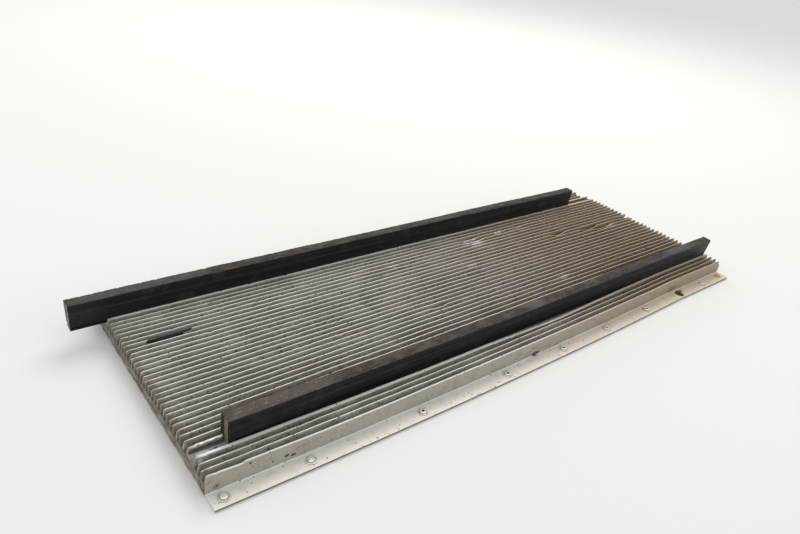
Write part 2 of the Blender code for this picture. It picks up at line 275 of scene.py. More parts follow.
def clockwise(loop):
    """The loop with its corners in the order that makes a channel's walls face into it."""
    a, b = loop.T
    area = np.sum(a * np.roll(b, -1) - np.roll(a, -1) * b)
    return loop if area < 0 else loop[::-1]


def new_piece(name, points, faces, sharp, **values):
    """A mesh object, smooth but for edges sharper than this many degrees, that keeps one
    number a point under each value's name."""
    mesh = bpy.data.meshes.new(name)
    mesh.from_pydata(points, [], faces)
    mesh.update()
    mesh.shade_smooth()
    mesh.set_sharp_from_angle(angle=math.radians(sharp))
    for key, numbers in values.items():
        mesh.attributes.new(key, "FLOAT", "POINT").data.foreach_set("value", np.ravel(numbers))
    piece = bpy.data.objects.new(name, mesh)
    bpy.context.scene.collection.objects.link(piece)
    return piece


def grid_faces(rows, columns, first=0):
    """Faces of an open tube laid out as rows of closed rings, numbered from first."""
    row = np.arange(rows - 1)[:, None] * columns
    near = np.arange(columns)
    far = (near + 1) % columns
    corners = [row + near, row + far, row + columns + far, row + columns + near]
    return first + np.stack(corners, -1).reshape(-1, 4)


def end_faces(rings, flip):
    """Triangles that close one end, whose first ring may hold others as openings."""
    flat = np.concatenate([ring for ring, _ in rings])
    number = np.concatenate([index for _, index in rings])
    found = np.array(tessellate_polygon([[(a, b, 0) for a, b in ring] for ring, _ in rings]))
    p, q, r = (flat[found[:, i]] for i in range(3))
    area = (q[:, 0] - p[:, 0]) * (r[:, 1] - p[:, 1]) - (r[:, 0] - p[:, 0]) * (q[:, 1] - p[:, 1])
    wrong = (area < 0) != flip
    found[wrong] = found[wrong][:, ::-1]
    return number[found]


def finned_half(name, side, seed):
    """Carries the outline from the left end to the right one, with the channels inside.
    Fins end short of the panel's ends by random amounts, times the height squared. Each
    point keeps what its material needs: its height up the fin, how bare, sooty or folded it
    is (soft oval spots), and how far out it was bent."""
    rng = np.random.default_rng(seed)
    outline, holes = outline_of(side)
    if side > 0:
        outline = outline[::-1]
    x = np.linspace(LEFT, RIGHT, STATIONS)
    y, z, rise, bent = worn(side, x, outline[:, 0], outline[:, 1], outline[:, 2], rng)
    loops = [(y, z)]
    for hole in holes:
        loop = clockwise(hole * (side, 1))
        loops.append([np.tile(places, (x.size, 1)) for places in loop.T])
    short = rng.uniform(0, 1, (2, OWNERS)) ** 2 * MOST_SHORT
    short = short[:, outline[:, 2].astype(int)] * rise ** 2
    points, faces, ends, first = [], [], [], 0
    for ring_y, ring_z in loops:
        count = ring_y.shape[1]
        ring_x = np.repeat(x[:, None], count, 1)
        if first == 0:
            ring_x[0] += short[0]
            ring_x[-1] -= short[1]
        points.append(np.stack([ring_x, ring_y, ring_z], -1))
        faces += grid_faces(x.size, count, first).tolist()
        ends.append((ring_y, ring_z, first))
        first += x.size * count
    for row, flip in ((0, True), (x.size - 1, False)):
        rings = [(np.column_stack([a[row], b[row]]),
                  start + row * a.shape[1] + np.arange(a.shape[1])) for a, b, start in ends]
        faces += end_faces(rings, flip).tolist()
    points = np.concatenate([p.reshape(-1, 3) for p in points])
    inner = np.zeros(len(points) - bent.size)
    rise = np.concatenate([np.tile(rise, x.size), inner])
    bent = np.concatenate([bent.ravel(), inner])
    x, y = points[:, 0], points[:, 1]
    bare = spots(SCRAPED, x, y) * (rise > 0.2)
    if side < 0:
        torn = np.clip((LEFT + 36 * MM - x) / (8 * MM), 0, 1)
        lip = (y < -RAIL_IN + MM) & (y > -MOUTH_IN - MM) & (rise > 0.85)
        bare = np.maximum(bare, torn * lip)
    taper = 0.5 + 0.42 * np.clip((x + 317 * MM) / (14 * MM), 0, 1)
    soot = spots(SOOTY, x, y) * np.clip((rise - taper) / 0.1 + 1, 0, 1)
    folded = spots(FOLDED, x, y) * (rise > 0.1)
    return new_piece(name, points, faces, sharp=CREASE, rise=rise, bare=bare, soot=soot,
                     folded=folded, bent=bent)


def cut_away(piece, solids):
    """Takes closed solids, given as (points, faces), out of the piece and applies it."""
    points = np.concatenate([p for p, _ in solids])
    faces, first = [], 0
    for p, f in solids:
        faces += [[first + i for i in face] for face in f]
        first += len(p)
    mesh = bpy.data.meshes.new("cutter")
    mesh.from_pydata(points, [], faces)
    cutter = bpy.data.objects.new("cutter", mesh)
    bpy.context.scene.collection.objects.link(cutter)
    step = piece.modifiers.new("cut", "BOOLEAN")
    step.operation = "DIFFERENCE"
    step.solver = "EXACT"
    step.object = cutter
    bpy.context.view_layer.update()
    seen = piece.evaluated_get(bpy.context.evaluated_depsgraph_get())
    done = bpy.data.meshes.new_from_object(seen)
    piece.modifiers.clear()
    piece.data = done
    bpy.data.objects.remove(cutter)
    done.set_sharp_from_angle(angle=math.radians(CREASE))


def closed_tube(rows, columns):
    """Faces of a tube of rings with each end closed by one flat face."""
    last = (rows - 1) * columns
    ends = [list(range(columns))[::-1], list(range(last, last + columns))]
    return grid_faces(rows, columns).tolist() + ends


def cylinder(x, y, long, wide, low, high):
    """A closed upright oval cylinder: one ring at its low end and one at its high end."""
    sides = 40
    angle = np.arange(sides) * math.tau / sides
    ring = np.column_stack([x + long / 2 * np.cos(angle), y + wide / 2 * np.sin(angle)])
    points = np.concatenate([np.column_stack([ring, np.full(sides, h)]) for h in (low, high)])
    return points, closed_tube(2, sides)


def block(low, high):
    """A box between two corners."""
    corners = [(x, y, z) for z in (low[2], high[2]) for y in (low[1], high[1])
               for x in (low[0], high[0])]
    faces = [(0, 2, 3, 1), (4, 5, 7, 6), (0, 1, 5, 4), (2, 6, 7, 3), (0, 4, 6, 2), (1, 3, 7, 5)]
    return np.array(corners), faces


CAP_REACH = 2.8 * MM            # depth of the seat that each end cap stands in
CAP_TOP = 8.2 * MM
CLEAR = 5 * MM                  # how far a cutter reaches below the metal
CLEAR_END = 9 * MM              # and past the panel's ends
RIVETS = 8                      # in each flange
RIVET_HOLE = 4.9 * MM
OPEN_HOLE_AT = 0.251            # its X; it is the same distance out as the rivets
OPEN_HOLE_SIZE = (10.6 * MM, 12 * MM)
FLANGE_MIDDLE = 0.1295
rivet_spots = {}
for label in ("front", "rear"):
    for number in range(1, RIVETS + 1):
        low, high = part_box(f"{label}_rivet_{number}")
        spot = (low + high) / 2
        if label == "front":
            spot.y -= float(bow(-1, spot.x))
        rivet_spots[label, number] = spot
OPEN_HOLE = (OPEN_HOLE_AT, -FLANGE_MIDDLE - float(bow(-1, OPEN_HOLE_AT)))

halves = {}
for label, side, seed in (("front", -1, 11), ("rear", 1, 12)):
    half = finned_half(f"finned_half_{label}", side, seed)
    seat = RIGHT - CAP_REACH
    seats = [block((near, -WALL_IN, -CLEAR), (near + CLEAR_END, WALL_IN, CAP_TOP))
             for near in (-seat - CLEAR_END, seat)]
    holes = [cylinder(spot.x, spot.y, RIVET_HOLE, RIVET_HOLE, -CLEAR, 8 * MM)
             for (whose, _), spot in rivet_spots.items() if whose == label]
    if label == "front":
        holes.append(cylinder(*OPEN_HOLE, *OPEN_HOLE_SIZE, -CLEAR, 6 * MM))
    cut_away(half, seats + holes)
    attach(half, "panel")
    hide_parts(f"{label}_extrusion")
    halves[label] = half


class Wire:
    """One output of a shader node. Sums, products and the like of wires add Math nodes."""

    def __init__(self, tree, socket=None):
        self.tree = tree
        self.socket = socket

    def node(self, kind, settings=None, sockets=None, out=0):
        """Adds a node of this kind: its settings first, then its sockets' values or links."""
        made = self.tree.nodes.new("ShaderNode" + kind)
        for key, value in (settings or {}).items():
            setattr(made, key, value)
        for key, value in (sockets or {}).items():
            if isinstance(value, Wire):
                self.tree.links.new(value.socket, made.inputs[key])
            else:
                made.inputs[key].default_value = value
        return Wire(self.tree, made.outputs[out])

    def also(self, name):
        """Another output of the node that this wire comes from."""
        return Wire(self.tree, self.socket.node.outputs[name])

    def math(self, operation, *values):
        """A Math node on these values, which are numbers or wires."""
        return self.node("Math", {"operation": operation}, dict(enumerate(values)))

    def __add__(self, other):
        return self.math("ADD", self, other)

    def __radd__(self, other):
        return self.math("ADD", other, self)

    def __sub__(self, other):
        return self.math("SUBTRACT", self, other)

    def __rsub__(self, other):
        return self.math("SUBTRACT", other, self)

    def __mul__(self, other):
        return self.math("MULTIPLY", self, other)

    def __rmul__(self, other):
        return self.math("MULTIPLY", other, self)

    def most(self, other):
        """The larger of the two."""
        return self.math("MAXIMUM", self, other)

    def step(self, low, high):
        """Smoothly from nought at low to one at high; low may be the larger."""
        return self.node("MapRange", {"interpolation_type": "SMOOTHSTEP"},
                         {"Value": self, "From Min": low, "From Max": high})

    def over(self, under, colour):
        """This share of the colour laid over the colour under it."""
        return self.node("Mix", {"data_type": "RGBA"}, {0: self, 6: under, 7: colour}, 2)


def paint(red, green, blue):
    """A colour given as it is seen, 0 to 255, as the shader's linear one."""
    seen = [v / 255 for v in (red, green, blue)]
    return (*[v / 12.92 if v <= 0.04045 else ((v + 0.055) / 1.055) ** 2.4 for v in seen], 1.0)


def new_finish(name):
    """A bare material, its shader, and a wire of the piece's own coordinates."""
    made = bpy.data.materials.new(name)
    made.use_nodes = True
    tree = made.node_tree
    shader = tree.nodes["Principled BSDF"]
    place = Wire(tree).node("TexCoord", out="Object")
    return made, shader, place


def stretched(place, along, across, up):
    """The coordinates scaled unevenly, so that a pattern on them runs in streaks."""
    return place.node("Mapping", None, {"Vector": place, "Scale": (along, across, up)})


def noise(place, scale, detail=4.0, rough=0.55):
    """Cloudy noise, nought to one, mostly near a half."""
    return place.node("TexNoise", None, {"Vector": place, "Scale": scale, "Detail": detail,
                                         "Roughness": rough})


def specks(place, scale, size, share):
    """Small round spots: near a cell's own point, in the given share of the cells."""
    cells = place.node("TexVoronoi", None, {"Vector": place, "Scale": scale})
    kept = place.node("SeparateColor", None, {0: cells.also("Color")})
    return cells.step(size, size * 0.55) * kept.step(1 - share, 1 - share * 0.8)


def near(place, middle, reach, fuzz):
    """One inside an oval ball round the middle, nought outside, with a ragged edge."""
    moved = place.node("VectorMath", {"operation": "SUBTRACT"}, {0: place, 1: middle})
    scaled = moved.node("VectorMath", {"operation": "DIVIDE"}, {0: moved, 1: reach})
    far = scaled.node("VectorMath", {"operation": "LENGTH"}, {0: scaled}, "Value")
    return (far + (fuzz - 0.5) * 0.9).step(1.05, 0.8)


def connect(shader, colour, rough, metal, height, strength, distance):
    """Feeds the shader's colour, roughness and metal, and a bump from the height wire."""
    tree = height.tree
    tree.links.new(colour.socket, shader.inputs["Base Color"])
    tree.links.new(rough.socket, shader.inputs["Roughness"])
    if isinstance(metal, Wire):
        tree.links.new(metal.socket, shader.inputs["Metallic"])
    else:
        shader.inputs["Metallic"].default_value = metal
    bump = height.node("Bump", None, {"Height": height, "Strength": strength, "Distance": distance})
    tree.links.new(bump.socket, shader.inputs["Normal"])


def kept_number(place, name):
    """The number that a piece keeps under this name at each point, or on each face."""
    return place.node("Attribute", {"attribute_name": name}, out="Fac")


# Marks on the front wall and flange, in the empty slot and on the fin tips, and one patch of
# painted shade in the slot: the middle of each, its reach along X, Y and Z, and its colour.
# All are places on the unbent panel
MARKS_AND_SHADE = (
    ((-0.0160, -0.1222, 0.0040), (0.0062, 0.0030, 0.0024), (66, 34, 24)),
    ((0.2440, -0.1220, 0.0062), (0.0110, 0.0012, 0.0044), (138, 114, 92)),
    ((0.3480, -0.1285, 0.0020), (0.0070, 0.0042, 0.0030), (164, 132, 76)),
    ((0.2555, -0.1262, 0.0020), (0.0080, 0.0030, 0.0030), (128, 72, 44)),
    ((-0.3255, -0.1220, 0.0155), (0.0011, 0.0012, 0.0011), (30, 26, 23)),
    ((-0.2960, -0.1220, 0.0083), (0.0022, 0.0012, 0.0013), (26, 23, 20)),
    ((-0.2905, -0.1220, 0.0066), (0.0026, 0.0012, 0.0012), (30, 26, 23)),
    ((-0.3510, -0.1220, 0.0066), (0.0029, 0.0012, 0.0026), (120, 112, 98)),
    ((-0.3508, -0.1220, 0.0066), (0.0017, 0.0012, 0.0015), (158, 150, 136)),
    ((-0.3506, -0.1220, 0.0066), (0.0009, 0.0012, 0.0009), (40, 34, 29)),
    ((0.0800, 0.0652, 0.0190), (0.0060, 0.0040, 0.0060), (250, 247, 244)),
    ((0.0665, 0.0682, 0.0190), (0.0042, 0.0028, 0.0050), (224, 219, 212)),
    ((0.1175, -0.0470, 0.0190), (0.0080, 0.0020, 0.0040), (240, 236, 229)),
    ((-0.3440, -0.0958, 0.0156), (0.0200, 0.0052, 0.0020), (126, 126, 126)),
    # Painted shade: the slot floor under the torn inner lip, painted dark
    ((-0.3460, -0.0925, 0.0156), (0.0180, 0.0021, 0.0022), (60, 50, 47)),
    ((-0.3500, -0.0965, 0.0156), (0.0055, 0.0020, 0.0012), (168, 172, 176)),
    ((-0.3400, -0.0968, 0.0156), (0.0014, 0.0014, 0.0010), (30, 26, 26)),
    ((-0.3530, -0.1030, 0.0150), (0.0052, 0.0013, 0.0042), (170, 178, 182)),
    ((-0.3545, -0.1030, 0.0155), (0.0018, 0.0013, 0.0018), (226, 228, 228)))


def aluminium_finish():
    """Old mill-finish aluminium: grey oxide on the fin faces, darker towards the bottom of the
    fin faces, painted shade in the valleys, pale edges that are partly wear and partly painted
    highlight, a browner right side, a paler flange with its front edge painted dark as shade and
    a painted highlight line where it meets the wall, dark specks, soot and scraped spots. It is
    laid out on the unbent panel."""
    made, shader, place = new_finish("oxidised_aluminium")
    rise, bare, soot, folded, bent = (
        kept_number(place, name) for name in ("rise", "bare", "soot", "folded", "bent"))
    along = place.node("SeparateXYZ", None, {0: place})
    across = along.also("Y") + bent
    height = along.also("Z")
    place = place.node("CombineXYZ", None, {0: along, 1: across, 2: height})
    streak = noise(stretched(place, 14, 420, 420), 1.0, 5)
    cloud = noise(place, 26, 6, 0.62)
    fine = noise(place, 900, 3)
    mottle = noise(place, 130, 5, 0.65)
    grain = noise(stretched(place, 60, 2400, 2400), 1.0, 3)
    browner = along.step(-0.16, 0.30)

    # Oxide, streaks and the browner right side
    colour = cloud.step(0.35, 0.68).over(paint(168, 164, 152), paint(198, 193, 183))
    colour = (streak.step(0.45, 0.75) * 0.6).over(colour, paint(134, 126, 111))
    colour = (browner * (0.5 + cloud * 0.6)).over(colour, paint(148, 124, 96))
    # Fin faces darker and blotchy towards the bottom, and stains all over, then painted shade in
    # the valleys between fins
    low_face = rise.step(0.86, 0.5) * mottle.step(0.3, 0.6) * across.step(-0.1015, -0.1000)
    colour = (low_face * 0.5).over(colour, paint(112, 98, 80))
    stain = noise(place, 210, 5, 0.7).step(0.52, 0.64) * rise.step(0.99, 0.9)
    colour = (stain * 0.55).over(colour, paint(104, 92, 74))
    inside = across.step(-0.122, -0.1205)
    # Painted shade: the bottoms of the valleys between the fins are painted dark brown
    valley_shade = rise.step(0.45, 0.05) * height.step(0.0086, 0.0092) * inside
    colour = (valley_shade * (0.45 + cloud * 0.5)).over(colour, paint(98, 84, 68))
    # The outer face of the side wall, the flange, its front edge painted dark as shade, and a
    # painted highlight line between them
    outside = across.math("ABSOLUTE", across).step(0.1210, 0.1216)
    wall = outside * height.step(0.0018, 0.0024)
    colour = (wall * 0.85).over(colour, browner.over(paint(166, 160, 147), paint(160, 141, 120)))
    colour = (wall * mottle.step(0.5, 0.75) * 0.5).over(colour, paint(118, 108, 92))
    flange = outside * height.step(0.0024, 0.0018)
    colour = (flange * 0.94).over(colour, browner.over(paint(226, 219, 207), paint(208, 189, 168)))
    colour = (flange * mottle.step(0.5, 0.75) * 0.4).over(colour, paint(172, 160, 144))
    # Painted shade: the front edge face of the flange is painted dark brown, as it lies in shade
    # over the table
    shaded_front_edge = across.step(-0.13690, -0.13705) * height.step(0.0016, 0.0014)
    colour = (shaded_front_edge * 0.9).over(colour, paint(64, 54, 45))
    # Painted highlight: a pale line along the crease where the wall meets the flange
    crease_highlight = outside * height.step(0.0029, 0.0023) * height.step(0.00175, 0.0020)
    colour = (crease_highlight * streak.step(0.2, 0.6) * 0.8).over(colour, paint(226, 221, 211))
    # Fin edges painted pale, partly rubbed wear and partly painted highlight on the lit tops, but
    # less so on the front wall's top
    edge = (rise + (fine - 0.5) * 0.04).step(0.95, 0.99)
    worn_and_lit_edge = edge * (0.5 + 0.5 * streak.step(0.3, 0.6))
    worn_and_lit_edge = worn_and_lit_edge * (0.55 + 0.45 * across.step(-0.1196, -0.1190))
    colour = worn_and_lit_edge.over(colour, browner.over(paint(222, 217, 209), paint(186, 170, 148)))
    colour = (folded * mottle.step(0.2, 0.6) * 0.8).over(colour, paint(160, 128, 98))
    colour = (bare * noise(place, 420, 3).step(0.35, 0.6) * 0.85).over(colour, paint(234, 226, 217))
    # Specks of tar, grime at the left ends, the sooty gouge, and single marks, one of them painted
    # shade
    dots = specks(place, 150, 0.17, 0.38).most(specks(place, 300, 0.22, 0.30))
    dots = dots.most(specks(place, 62, 0.10, 0.34) * inside)
    colour = (dots * 0.88).over(colour, paint(40, 33, 28))
    ends = along.step(LEFT + 9 * MM, LEFT + 1 * MM) * mottle.step(0.3, 0.55)
    colour = (ends * inside * 0.6).over(colour, paint(112, 100, 84))
    ragged = noise(place, 260, 3)
    tar = (soot + (ragged - 0.5) * 0.4).step(0.35, 0.5)
    greyish = noise(stretched(place, 60, 700, 700), 1.0, 3).step(0.55, 0.7)
    colour = tar.over(colour, (greyish * 0.6).over(paint(20, 18, 17), paint(74, 71, 66)))
    for middle, reach, shade in MARKS_AND_SHADE:
        colour = (near(place, middle, reach, ragged) * 0.9).over(colour, paint(*shade))

    rough = 0.56 + (cloud - 0.5) * 0.25 + valley_shade * 0.2 + tar * 0.1 - worn_and_lit_edge * 0.1
    metal = 0.24 - valley_shade * 0.1 - dots * 0.2 - tar * 0.22
    bumps = grain * 0.3 + fine * 0.3 + mottle * 0.5 - dots * 0.8
    connect(shader, colour, rough, metal, bumps, strength=0.35, distance=0.4 * MM)
    return made


aluminium = aluminium_finish()
for half in halves.values():
    half.data.materials.clear()
    half.data.materials.append(aluminium)


# ------------------------------------------------------- painted shade in the open rivet hole
# One rivet is missing from the front flange. Its hole is filled with a thin dished disc in
# dark rust colours: painted shade that stands in for the shadow deep in the open hole.

FILLER_RINGS = 14
FILLER_SPOKES = 56
FILLER_SIZE = (10.3 * MM, 11.7 * MM)


def shade_filler_disc(middle, long, wide):
    """A thin dished oval disc, as rings from its rim inwards. Its top rises by the square of
    the distance from the middle and is roughened by random heights; its underside is flat."""
    rng = np.random.default_rng(41)
    angle = np.arange(FILLER_SPOKES) * math.tau / FILLER_SPOKES
    out = np.linspace(1, 0.06, FILLER_RINGS)[:, None]
    ragged = 1 - 0.03 * rng.uniform(0, 1, FILLER_SPOKES)
    x = middle[0] + long / 2 * out * ragged * np.cos(angle)
    y = middle[1] + wide / 2 * out * ragged * np.sin(angle)
    high = (0.45 + 0.75 * out ** 2 + 0.25 * rng.uniform(-1, 1, x.shape)) * MM
    x, y = np.concatenate([x[:1], x]), np.concatenate([y[:1], y])
    high = np.concatenate([np.full_like(high[:1], 0.15 * MM), high])
    points = np.stack([x, y, high], -1).reshape(-1, 3)
    faces = closed_tube(FILLER_RINGS + 1, FILLER_SPOKES)
    return new_piece("shade_filler_in_open_hole", points, faces, sharp=60)


def rust_coloured_shade_finish():
    """Painted shade in dark rust colours: red-brown with blacker pits and a few orange grains."""
    made, shader, place = new_finish("rust_coloured_shade")
    cloud = noise(place, 420, 6, 0.65)
    fine = noise(place, 1500, 3)
    colour = cloud.step(0.35, 0.65).over(paint(40, 27, 20), paint(86, 56, 40))
    colour = (fine.step(0.58, 0.72) * 0.6).over(colour, paint(140, 98, 66))
    rough = 0.8 + (cloud - 0.5) * 0.2
    connect(shader, colour, rough, 0.0, cloud + fine * 0.5, strength=0.7, distance=0.3 * MM)
    return made


# Painted shade: a dark disc in the hole, standing in for the shadow seen through it
hole_filler = shade_filler_disc(OPEN_HOLE, *FILLER_SIZE)
hole_filler.data.materials.append(rust_coloured_shade_finish())
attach(hole_filler, "panel")


# ------------------------------------------------------------------------------ end caps
# A narrow aluminium bar closes the channels at each end. It is held by a rough weld that
# was never dressed, so its face is lumpy, and it is brown with baked-on dirt.

CAP_STATIONS = 300
CAP_RING = 22
# Lumps of weld: length along Y, height in millimetres, turns round the section
LUMPS = ((0.0137, 0.16, 1), (0.0089, 0.12, -1), (0.0043, 0.08, 2), (0.031, 0.2, 0),
         (0.0023, 0.06, 3))


def welded_cap(name, side, seed):
    """A bar along Y. Its section is a rounded box (a superellipse of power five); its outer
    side swells by lumps, which are a sum of sines with random phases along the bar."""
    rng = np.random.default_rng(seed)
    low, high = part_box(f"{name}_end_cap")
    y = np.linspace(low.y, high.y, CAP_STATIONS)[:, None]
    angle = -side * (np.arange(CAP_RING) + 0.5) * math.tau / CAP_RING
    power = 2 / 5
    a = np.sign(np.cos(angle)) * np.abs(np.cos(angle)) ** power
    b = np.sign(np.sin(angle)) * np.abs(np.sin(angle)) ** power
    lumps = sum(amount * np.sin(math.tau * y / length + rng.uniform(0, math.tau) + twist * angle)
                for length, amount, twist in LUMPS)
    swell = (0.35 + lumps) * MM * np.clip(a, 0, 1)
    x = (low.x + high.x) / 2 + side * ((high.x - low.x) / 2 * a + swell)
    on_top = 0.25 * lumps * MM * np.clip(b, 0, 1) * (a > -0.5)
    z = (low.z + high.z) / 2 + (high.z - low.z) / 2 * b + on_top
    points = np.stack([x, np.broadcast_to(y, x.shape), z], -1).reshape(-1, 3)
    faces = [face[::-1] for face in closed_tube(CAP_STATIONS, CAP_RING)]
    return new_piece(f"welded_cap_{name}", points, faces, sharp=60)


def cap_finish():
    """Dirty weld metal: brown-grey crust with paler rubbed lumps and black pits."""
    made, shader, place = new_finish("grimy_weld")
    cloud = noise(place, 110, 6, 0.6)
    fine = noise(place, 700, 4)
    colour = cloud.step(0.38, 0.62).over(paint(104, 90, 74), paint(156, 144, 128))
    colour = (fine.step(0.50, 0.68) * 0.6).over(colour, paint(78, 66, 54))
    pits = specks(place, 170, 0.24, 0.34)
    colour = (pits * 0.8).over(colour, paint(44, 37, 30))
    rubbed = specks(place, 140, 0.26, 0.14)
    colour = (rubbed * 0.6).over(colour, paint(190, 182, 168))
    rough = 0.62 + (cloud - 0.5) * 0.3
    metal = 0.35 - pits * 0.3
    bumps = cloud + fine * 0.5 - pits * 0.6
    connect(shader, colour, rough, metal, bumps, strength=0.6, distance=0.6 * MM)
    return made


grime = cap_finish()
for name, side, seed in (("left", -1, 21), ("right", 1, 22)):
    cap = welded_cap(name, side, seed)
    cap.data.materials.append(grime)
    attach(cap, "panel")
    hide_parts(f"{name}_end_cap")


# ------------------------------------------------------------------------- rubber strips
# Two black rubber bars, moulded with a narrow neck and a foot that slides in the slot. They
# are sawn to length; the tops are scuffed brown-grey and chipped along their edges.

STRIP_STATIONS = 420
STRIP_WIDE = 11.8 * MM
STRIP_PLAY = 0.3 * MM           # between the strip and the slot's lips, beside and above them
FOOT_HIGH = 1.6 * MM
CHIP_BAND = 1.4 * MM            # how far down from the top the corners are chipped
CHIP_REACH = 4.5 * MM           # how far in from the sides


def strip_ring(side, low, high):
    """The section as rows of (y, z): foot, back of the neck, back of the body, round the top
    corners by quarter circles, and down the front, where neck and body are one flat."""
    body_front = low.y + UNDERCUT
    body_back = body_front + STRIP_WIDE
    neck_back = (side * (MOUTH_IN if side < 0 else MOUTH_OUT)) - STRIP_PLAY
    foot_top = low.z + FOOT_HIGH
    base = TOP + STRIP_PLAY
    top = high.z
    arc = [(1 - math.sin(t), 1 - math.cos(t)) for t in np.linspace(0, math.pi / 2, 6)]
    round_back, round_front = 1.0 * MM, 0.8 * MM
    rows = [(low.y, low.z), (neck_back + UNDERCUT, low.z), (neck_back + UNDERCUT, foot_top),
            (neck_back, foot_top), (neck_back, base), (body_back, base + 0.2 * MM)]
    rows += [(body_back, z) for z in np.linspace(base, top - round_back, 8)[1:-1]]
    rows += [(body_back - round_back * b, top - round_back * a) for a, b in arc]
    across = np.linspace(body_back - round_back, body_front + round_front, 9)[1:-1]
    rows += [(y, top) for y in across]
    rows += [(body_front + round_front * a, top - round_front * b) for a, b in arc]
    rows += [(body_front, z) for z in np.linspace(top - round_front, foot_top, 11)[1:]]
    rows += [(low.y, foot_top)]
    return np.array(rows)


def sawn_strip(label, side, slant, sag, seed):
    """Carries the section along X, and leans the right end by a share of the height. The top
    corners lose a random depth that drifts along the bar: a smoothed random walk and single
    chips. The top has low waves, sags by the arch times the height, and keeps a burr at the
    right end's back corner; the whole bar leans to and fro by a sine."""
    rng = np.random.default_rng(seed)
    low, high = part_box(f"{label}_strip")
    ring = strip_ring(side, low, high)
    ring_y, ring_z = ring.T
    share = np.linspace(0, 1, STRIP_STATIONS)[:, None]
    up = np.clip((ring_z - TOP) / (high.z - TOP), 0, 1)
    left = low.x + 0.25 * MM * rng.uniform(-1, 1, len(ring))
    right = high.x - slant * (1 - up) + 0.25 * MM * rng.uniform(-1, 0, len(ring))
    x = left + (right - left) * share
    walks = rng.normal(0, 1, (STRIP_STATIONS, 2)).cumsum(0)
    kernel = np.hanning(9)
    kernel /= kernel.sum()
    drift = np.stack([np.convolve(walk - np.linspace(walk[0], walk[-1], walk.size), kernel, "same")
                      for walk in walks.T])
    drift = np.abs(drift) / np.abs(drift).max(1, keepdims=True)
    chips = rng.uniform(0, 1, (2, STRIP_STATIONS)) ** 9 * 0.7 + drift * 0.8
    chips[0][-6:] *= 0.3
    middle = (ring_y.min() + ring_y.max()) / 2
    near_top = np.clip((ring_z - (high.z - CHIP_BAND)) / CHIP_BAND, 0, 1)
    front = near_top * np.clip((middle - ring_y) / CHIP_REACH, 0, 1) ** 3 * chips[0][:, None]
    back = near_top * np.clip((ring_y - middle) / CHIP_REACH, 0, 1) ** 3 * chips[1][:, None]
    burr = np.clip((x - (high.x - 9 * MM)) / (4 * MM), 0, 1)
    burr = burr * np.clip((ring_y - middle) / (3 * MM), 0, 1)
    wave = 0.10 * np.sin(math.tau * x / 0.21 + rng.uniform(0, math.tau))
    wave = wave + 0.06 * np.sin(math.tau * x / 0.083 + rng.uniform(0, math.tau))
    lean = 0.25 * np.sin(math.tau * x / 0.46 + rng.uniform(0, math.tau)) * up ** 2
    lost = front + back * 0.8 + (wave + 0.16 - 0.3 * burr) * near_top
    z = ring_z - lost * MM - sag * up * arch(x)
    y = ring_y + (lean + 0.6 * (front - back)) * MM
    points = np.stack([x, y, z], -1).reshape(-1, 3)
    count = len(ring)
    faces = grid_faces(STRIP_STATIONS, count).tolist()
    for row, flip in ((0, True), (STRIP_STATIONS - 1, False)):
        rings = [(np.column_stack([y[row], z[row]]), row * count + np.arange(count))]
        faces += end_faces(rings, flip).tolist()
    level = np.tile(ring_z, STRIP_STATIONS)
    piece = new_piece(f"rubber_bar_{label}", points, faces, sharp=35, level=level)
    cut = np.zeros(len(faces))
    cut[(STRIP_STATIONS - 1) * count:] = 1.0
    piece.data.attributes.new("sawn", "FLOAT", "FACE").data.foreach_set("value", cut)
    return piece


